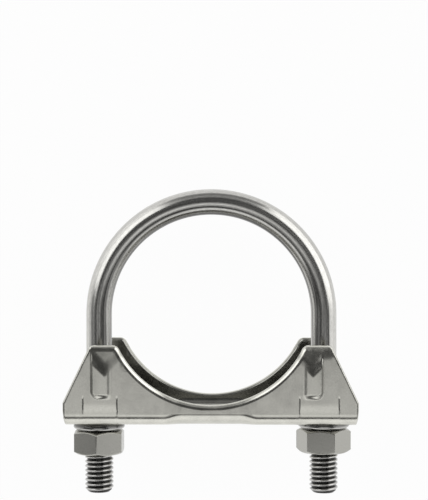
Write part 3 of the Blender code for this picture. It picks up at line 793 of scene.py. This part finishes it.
def drawn_rod_steel():
    """Bright drawn stainless bar: fine lengthwise die lines, with painted shade on the inner side of the bend,
    darkest along its inner rim at the crown.
    """
    colour = "c9c8c4"
    made, tree, shader = start_metal("drawn_stainless_rod", colour, 0.2)
    place = add_node(tree, "ShaderNodeAttribute", attribute_name="straight").outputs["Vector"]
    along = add_node(tree, "ShaderNodeMapping", {"Vector": place, "Scale": (1, 1, 0.015)})
    lines = add_node(tree, "ShaderNodeTexNoise", {"Vector": along.outputs[0], "Scale": 1500.0, "Detail": 4.0})
    roughen(tree, shader, lines, (0.13, 0.28), lines, 0.006 * MM)
    parts = add_node(tree, "ShaderNodeSeparateXYZ", {"Vector": place})
    inner = add_node(tree, "ShaderNodeMapRange", {"Value": parts.outputs["X"], "From Min": 0.2 * MM,
                                                  "From Max": -2.4 * MM}, interpolation_type="SMOOTHSTEP")
    depth = add_node(tree, "ShaderNodeMapRange", {"Value": inner.outputs[0], "To Min": 0.12, "To Max": 0.38})
    streak = add_node(tree, "ShaderNodeMapRange", {"Value": lines.outputs["Fac"], "From Min": 0.38, "From Max": 0.62,
                                                   "To Min": -1.0, "To Max": 1.0})
    # Painted shade: the inner side of the bend darkens down to 0.58 times.
    level = add_node(tree, "ShaderNodeMapRange", {"Value": inner.outputs[0], "To Min": 1.0, "To Max": 0.58})
    lined = add_node(tree, "ShaderNodeMath", {0: streak.outputs[0], 1: depth.outputs[0], 2: level.outputs[0]},
                     operation="MULTIPLY_ADD")
    drawn_out = add_node(tree, "ShaderNodeMapping", {"Vector": place, "Scale": (1, 1, 0.2)})
    grain = add_node(tree, "ShaderNodeTexNoise", {"Vector": drawn_out.outputs[0], "Scale": 4200.0, "Detail": 2.0})
    speckle = add_node(tree, "ShaderNodeMapRange", {"Value": grain.outputs["Fac"], "From Min": 0.35, "From Max": 0.65,
                                                    "To Min": 0.9, "To Max": 1.1})
    grained = add_node(tree, "ShaderNodeMath", {0: lined.outputs[0], 1: speckle.outputs[0]}, operation="MULTIPLY")
    # Painted shade along the inner rim at the crown, down to 0.15 times, fading towards the legs.
    rim = add_node(tree, "ShaderNodeMapRange", {"Value": parts.outputs["X"], "From Min": -2.9 * MM,
                                                "From Max": -3.4 * MM}, interpolation_type="SMOOTHSTEP")
    turn = add_node(tree, "ShaderNodeMath", {0: parts.outputs["Z"], 1: BEND_RADIUS}, operation="DIVIDE")
    crown = add_node(tree, "ShaderNodeMath", {0: turn.outputs[0]}, operation="SINE", use_clamp=True)
    pressed = add_node(tree, "ShaderNodeMath", {0: rim.outputs[0], 1: crown.outputs[0]}, operation="MULTIPLY")
    bright = add_node(tree, "ShaderNodeMapRange", {"Value": pressed.outputs[0], "To Min": 1.0, "To Max": 0.15})
    kept = add_node(tree, "ShaderNodeMath", {0: grained.outputs[0], 1: bright.outputs[0]}, operation="MULTIPLY")
    shade_by(tree, shader, colour, kept.outputs[0])
    return made


def rolled_thread_steel():
    """Cold rolled thread: painted shade in the roots, darkening to 0.08 times there, the crests near full colour."""
    colour = "cfcecb"
    made, tree, shader = start_metal("rolled_stainless_thread", colour, 0.16)
    place = add_node(tree, "ShaderNodeAttribute", attribute_name="straight").outputs["Vector"]
    flat = add_node(tree, "ShaderNodeVectorMath", {0: place, 1: (1, 1, 0)}, operation="MULTIPLY")
    radius = add_node(tree, "ShaderNodeVectorMath", {0: flat.outputs[0]}, operation="LENGTH")
    # Painted shade: darker from the crests down into the roots.
    painted_light_level = add_node(tree, "ShaderNodeMapRange", {"Value": radius.outputs["Value"], "From Min": 3.45 * MM,
                                                  "From Max": CREST_RADIUS, "To Min": 0.08, "To Max": 0.95})
    shade_by(tree, shader, colour, painted_light_level.outputs[0])
    return made


def pressed_sheet_steel():
    """Cold rolled stainless sheet, tumbled after pressing: an even satin grain, a little cloudy."""
    colour = "d0cfc7"
    made, tree, shader = start_metal("pressed_stainless_sheet", colour, 0.2)
    place = add_node(tree, "ShaderNodeTexCoord").outputs["Object"]
    grain = add_node(tree, "ShaderNodeTexNoise", {"Vector": place, "Scale": 4500.0, "Detail": 2.0})
    clouds = add_node(tree, "ShaderNodeTexNoise", {"Vector": place, "Scale": 300.0, "Detail": 4.0})
    roughen(tree, shader, clouds, (0.15, 0.24), grain, 0.0016 * MM)
    both = add_node(tree, "ShaderNodeMath", {0: clouds.outputs["Fac"], 1: grain.outputs["Fac"]}, operation="ADD")
    level = add_node(tree, "ShaderNodeMapRange", {"Value": both.outputs[0], "From Min": 0.7, "From Max": 1.3,
                                                  "To Min": 0.84, "To Max": 1.1})
    # Painted shade darkens the sheet down to 0.12 times where the attribute is 1, and painted highlight brightens the
    # eased edges where it is below 0.
    dark = add_node(tree, "ShaderNodeAttribute", attribute_name="painted_light").outputs["Fac"]
    painted_light_level = add_node(tree, "ShaderNodeMapRange", {"Value": dark, "From Min": -1.0, "To Min": 1.88, "To Max": 0.12})
    left = add_node(tree, "ShaderNodeMath", {0: level.outputs[0], 1: painted_light_level.outputs[0]}, operation="MULTIPLY")
    shade_by(tree, shader, colour, left.outputs[0])
    return made


def nut_steel():
    """Cold formed stainless nut: a fine satin with faint rub marks."""
    made, tree, shader = start_metal("cold_formed_stainless_nut", "aeada7", 0.22)
    place = add_node(tree, "ShaderNodeTexCoord").outputs["Object"]
    grain = add_node(tree, "ShaderNodeTexNoise", {"Vector": place, "Scale": 2600.0, "Detail": 3.0})
    roughen(tree, shader, grain, (0.17, 0.27), grain, 0.005 * MM)
    return made


def washer_steel():
    """Stainless washer: glossy where it was turned, with painted shade on the rim towards the saddle."""
    colour = "c4c3c0"
    made, tree, shader = start_metal("turned_stainless_washer", colour, 0.24)
    place = add_node(tree, "ShaderNodeTexCoord").outputs["Object"]
    grain = add_node(tree, "ShaderNodeTexNoise", {"Vector": place, "Scale": 3000.0, "Detail": 3.0})
    roughen(tree, shader, grain, (0.18, 0.28), grain, 0.004 * MM)
    dark = add_node(tree, "ShaderNodeAttribute", attribute_name="painted_light").outputs["Fac"]
    # Painted shade: darkens down to 0.12 times where the attribute is 1.
    painted_light_level = add_node(tree, "ShaderNodeMapRange", {"Value": dark, "To Min": 1.0, "To Max": 0.12})
    shade_by(tree, shader, colour, painted_light_level.outputs[0])
    return made


def dress(piece, node, slot, *finishes):
    """The piece stands for a node, rides on its body and takes its finishes."""
    piece.name = node + "_dressed"
    piece.data.name = piece.name
    for finish in finishes:
        piece.data.materials.append(finish)
    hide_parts(node)
    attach(piece, node)


# ---- Studio ------------------------------------------------------------------

# Parts of the light tent: the compass heading of the middle, in degrees from +X towards +Y,
# half the width; then the middle's angle from the zenith and half the height; the level; the soft edge
TENT = (
    (-90, 180, 135, 38, 0.80, 10),    # below the horizon
    (-90, 60, 20.5, 10.5, 1.00, 20),  # front, high
    (-90, 60, 78, 24, 1.10, 8),       # front, low
    (0, 40, 75, 25, 0.95, 10),        # right
    (33, 30, 66, 27, 1.75, 6),        # right, towards the crown
    (90, 30, 62, 22, 0.28, 8),        # behind the crown
    (90, 30, 92, 8, 0.60, 6),         # behind the crown, low
    (145, 28, 52, 18, 1.75, 6),       # left, towards the crown
    (145, 28, 82, 14, 1.10, 8),       # left, low
    (180, 8, 60, 18, 0.30, 8),        # left
    (190, 22, 84, 14, 0.70, 8),       # left, low
)
ROOF = 0.085                          # the dark roof of the tent, where the camera looks in


def soft_part(tree, heading, tilt, below, part):
    """Lay one part of the tent over what is below it, with soft edges."""
    compass, half_width, middle, half_height, level, edge = part
    turn = math.radians(compass)
    aside = add_node(tree, "ShaderNodeVectorMath", {0: heading, 1: (math.cos(turn), math.sin(turn), 0)},
                     operation="DOT_PRODUCT")
    away = add_node(tree, "ShaderNodeMath", {0: aside.outputs["Value"]}, operation="ARCCOSINE")
    off = add_node(tree, "ShaderNodeMath", {0: tilt, 1: math.radians(middle)}, operation="SUBTRACT")
    rise_off = add_node(tree, "ShaderNodeMath", {0: off.outputs[0]}, operation="ABSOLUTE")
    shares = []
    for distance, half in ((away.outputs[0], half_width), (rise_off.outputs[0], half_height)):
        inside, outside = math.radians(half - edge / 2), math.radians(half + edge / 2)
        shares.append(add_node(tree, "ShaderNodeMapRange", {
            "Value": distance, "From Min": outside, "From Max": inside}, interpolation_type="SMOOTHSTEP"))
    share = add_node(tree, "ShaderNodeMath", {0: shares[0].outputs[0], 1: shares[1].outputs[0]},
                     operation="MULTIPLY")
    laid = add_node(tree, "ShaderNodeMix", {0: share.outputs[0], 2: below, 3: level})
    return laid.outputs[0]


def light_tent():
    """A pale tent with a dark roof; the camera sees plain white behind the clamp."""
    world = bpy.data.worlds.new("light_tent")
    bpy.context.scene.world = world
    world.use_nodes = True
    tree = world.node_tree
    tree.nodes.clear()
    way = add_node(tree, "ShaderNodeTexCoord").outputs["Generated"]
    parts = add_node(tree, "ShaderNodeSeparateXYZ", {"Vector": way})
    tilt = add_node(tree, "ShaderNodeMath", {0: parts.outputs["Z"]}, operation="ARCCOSINE")
    flat = add_node(tree, "ShaderNodeVectorMath", {0: way, 1: (1, 1, 0)}, operation="MULTIPLY")
    heading = add_node(tree, "ShaderNodeVectorMath", {0: flat.outputs[0]}, operation="NORMALIZE")
    level = ROOF
    for part in TENT:
        level = soft_part(tree, heading.outputs[0], tilt.outputs[0], level, part)
    rays = add_node(tree, "ShaderNodeLightPath")
    seen = add_node(tree, "ShaderNodeMix", {0: rays.outputs["Is Camera Ray"], 2: level, 3: 1.0})
    light = add_node(tree, "ShaderNodeBackground", {"Color": seen.outputs[0], "Strength": 1.0})
    add_node(tree, "ShaderNodeOutputWorld", {"Surface": light.outputs[0]})


def pale_floor():
    floor = add_primitive("plane", "floor", size=3.0)
    made = bpy.data.materials.new("pale_floor")
    made.use_nodes = True
    tree = made.node_tree
    tree.nodes.clear()
    paper = add_node(tree, "ShaderNodeBsdfDiffuse", {"Color": (0.9, 0.9, 0.9, 1)})
    glow = add_node(tree, "ShaderNodeEmission", {"Color": (1, 1, 1, 1), "Strength": 1.0})
    rays = add_node(tree, "ShaderNodeLightPath")
    shown = add_node(tree, "ShaderNodeMath", {0: rays.outputs["Is Camera Ray"], 1: rays.outputs["Is Glossy Ray"]},
                     operation="MAXIMUM")
    share = add_node(tree, "ShaderNodeMath", {0: shown.outputs[0], 1: 0.96}, operation="MULTIPLY")
    both = add_node(tree, "ShaderNodeMixShader", {0: share.outputs[0], 1: paper.outputs[0], 2: glow.outputs[0]})
    add_node(tree, "ShaderNodeOutputMaterial", {"Surface": both.outputs[0]})
    floor.data.materials.append(made)


def camera():
    """Straight down on the clamp, a little above the middle of the bend."""
    eye = BEND_CENTRE + CAMERA_EYE
    aim = BEND_CENTRE + CAMERA_AIM
    back = (eye - aim).normalized()
    right = Vector((0, 1, 0)).cross(back).normalized()
    facing = Matrix((right, back.cross(right), back)).transposed()
    bpy.ops.object.camera_add(location=eye, rotation=facing.to_euler())
    made = bpy.context.active_object
    made.name = "camera"
    made.data.sensor_width = SENSOR
    made.data.lens = FOCAL_LENGTH * (eye - aim).length / CAMERA_HEIGHT
    made.data.clip_start = 0.01
    bpy.context.scene.camera = made


light_tent()
pale_floor()
camera()
bpy.context.scene.view_settings.view_transform = "Standard"

dress(make_saddle(), "saddle", "sheet", pressed_sheet_steel())
dress(make_rod(), "u_bolt", "rod", drawn_rod_steel(), rolled_thread_steel())
washer_finish, nut_finish = washer_steel(), nut_steel()
first_washer, first_nut = make_washer(), make_nut()
for word, side, slack, turn in (("left", -1, LEFT_NUT_SLACK, LEFT_NUT_TURN), ("right", 1, 0.0, RIGHT_NUT_TURN)):
    washer, nut = copied(first_washer), copied(first_nut)
    set_in_place(washer, side * BEND_RADIUS, WASHER_TOP_Y - slack, 0.0)
    set_in_place(nut, side * BEND_RADIUS, NUT_TOP_Y - slack, turn)
    dress(washer, word + "_washer", "washer", washer_finish)
    dress(nut, word + "_nut", "nut", nut_finish)
discard(first_washer)
discard(first_nut)
